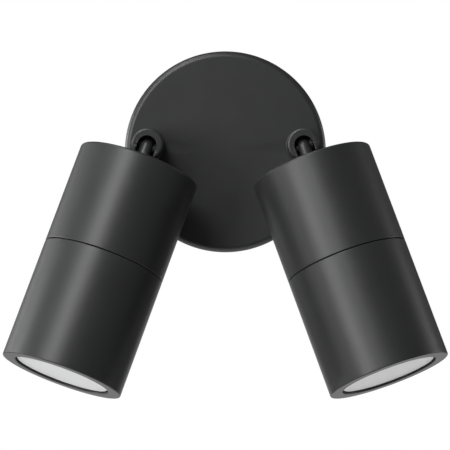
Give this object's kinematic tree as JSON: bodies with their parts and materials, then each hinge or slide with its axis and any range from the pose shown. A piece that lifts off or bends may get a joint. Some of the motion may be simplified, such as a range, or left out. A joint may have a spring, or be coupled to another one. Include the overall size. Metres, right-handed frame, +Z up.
{
  "type": "adjustable spotlight wall light",
  "caption": "Wall spotlight with a round dished plate, slotted swivel posts and cylindrical heads that tilt on knuckle stems, each with a screw-off lens tube.",
  "frame": {"origin": "centre of the wall plate on the wall plane", "axes": "+Z up the wall, -Y straight out of the wall, +X to the right seen from the front"},
  "size_m": [0.2134, 0.1052, 0.1702],
  "materials": {
    "black_paint": "satin",
    "seal_rubber": "matte",
    "zinc_steel": "satin",
    "screw_steel": "satin",
    "block_plastic": "matte",
    "barrel_brass": "satin",
    "washer_nylon": "matte",
    "earth_wire": "satin",
    "lead_wire": "satin",
    "holder_ceramic": "matte",
    "lamp_body": "satin",
    "lamp_front": "satin",
    "frosted_glass": "satin",
    "retainer_metal": "satin"
  },
  "bodies": {
    "wall_unit": {"block_screws": "screw_steel", "bracket_side_screws": "screw_steel", "cable_grommet": "seal_rubber", "earth_lead": "earth_wire", "earth_screw": "screw_steel", "left_supply_leads": "lead_wire", "mounting_bracket": "zinc_steel", "right_supply_leads": "lead_wire", "terminal_barrels": "barrel_brass", "terminal_block": "block_plastic", "terminal_screws": "screw_steel", "wall_gasket": "seal_rubber", "wall_plate": "black_paint"},
    "left_post": {"left_swivel_post": "black_paint", "left_swivel_seal": "seal_rubber", "left_stop_washer": "zinc_steel", "left_swivel_nut": "zinc_steel", "left_pivot_screw": "screw_steel", "left_pivot_washers": "washer_nylon"},
    "left_head": {"left_knuckle_stem": "black_paint", "left_stem_seal": "seal_rubber", "left_stem_washer": "zinc_steel", "left_stem_nut": "zinc_steel", "left_rear_housing": "black_paint", "left_thread_seal": "seal_rubber", "left_lampholder_bracket": "zinc_steel", "left_holder_screws": "screw_steel", "left_lampholder": "holder_ceramic", "left_lamp": "lamp_body", "left_lamp_cover": "lamp_front", "left_lamp_leads": "lead_wire"},
    "left_lens_pack": {"left_lens_gasket": "seal_rubber", "left_lens_glass": "frosted_glass", "left_lens_retainer": "retainer_metal"},
    "left_tube": {"left_front_tube": "black_paint"},
    "right_post": {"right_swivel_post": "black_paint", "right_swivel_seal": "seal_rubber", "right_stop_washer": "zinc_steel", "right_swivel_nut": "zinc_steel", "right_pivot_screw": "screw_steel", "right_pivot_washers": "washer_nylon"},
    "right_head": {"right_knuckle_stem": "black_paint", "right_stem_seal": "seal_rubber", "right_stem_washer": "zinc_steel", "right_stem_nut": "zinc_steel", "right_rear_housing": "black_paint", "right_thread_seal": "seal_rubber", "right_lampholder_bracket": "zinc_steel", "right_holder_screws": "screw_steel", "right_lampholder": "holder_ceramic", "right_lamp": "lamp_body", "right_lamp_cover": "lamp_front", "right_lamp_leads": "lead_wire"},
    "right_lens_pack": {"right_lens_gasket": "seal_rubber", "right_lens_glass": "frosted_glass", "right_lens_retainer": "retainer_metal"},
    "right_tube": {"right_front_tube": "black_paint"}
  },
  "joints": [
    {"name": "left_swivel", "type": "hinge", "parent": "wall_unit", "child": "left_post", "pos_m": [-0.038, -0.022, 0.003], "axis": [0, 1, 0], "range_deg": [-20, 160]},
    {"name": "left_tilt", "type": "hinge", "parent": "left_post", "child": "left_head", "pos_m": [-0.03831, -0.0505, 0.00215], "axis": [-0.9397, 0, 0.342], "range_deg": [-3.5, 77.76]},
    {"name": "left_tube_advance", "type": "slide", "parent": "left_head", "child": "left_lens_pack", "axis": [-0.3342, -0.212, -0.9183], "range_m": [0, 0.008]},
    {"name": "left_tube_turn", "type": "hinge", "parent": "left_lens_pack", "child": "left_tube", "pos_m": [-0.03831, -0.0505, 0.00215], "axis": [-0.3342, -0.212, -0.9183], "range_deg": [0, 1440]},
    {"name": "right_swivel", "type": "hinge", "parent": "wall_unit", "child": "right_post", "pos_m": [0.038, -0.022, 0.003], "axis": [0, -1, 0], "range_deg": [-20, 160]},
    {"name": "right_tilt", "type": "hinge", "parent": "right_post", "child": "right_head", "pos_m": [0.03831, -0.0505, 0.00215], "axis": [-0.9397, 0, -0.342], "range_deg": [-3.5, 77.76]},
    {"name": "right_tube_advance", "type": "slide", "parent": "right_head", "child": "right_lens_pack", "axis": [0.3342, -0.212, -0.9183], "range_m": [0, 0.008]},
    {"name": "right_tube_turn", "type": "hinge", "parent": "right_lens_pack", "child": "right_tube", "pos_m": [0.03831, -0.0505, 0.00215], "axis": [0.3342, -0.212, -0.9183], "range_deg": [0, 1440]}
  ],
  "couplings": [
    {"joint": "left_tube_advance", "follows": "left_tube_turn", "m_per_rad": 0.00031831},
    {"joint": "right_tube_advance", "follows": "right_tube_turn", "m_per_rad": 0.00031831}
  ]
}
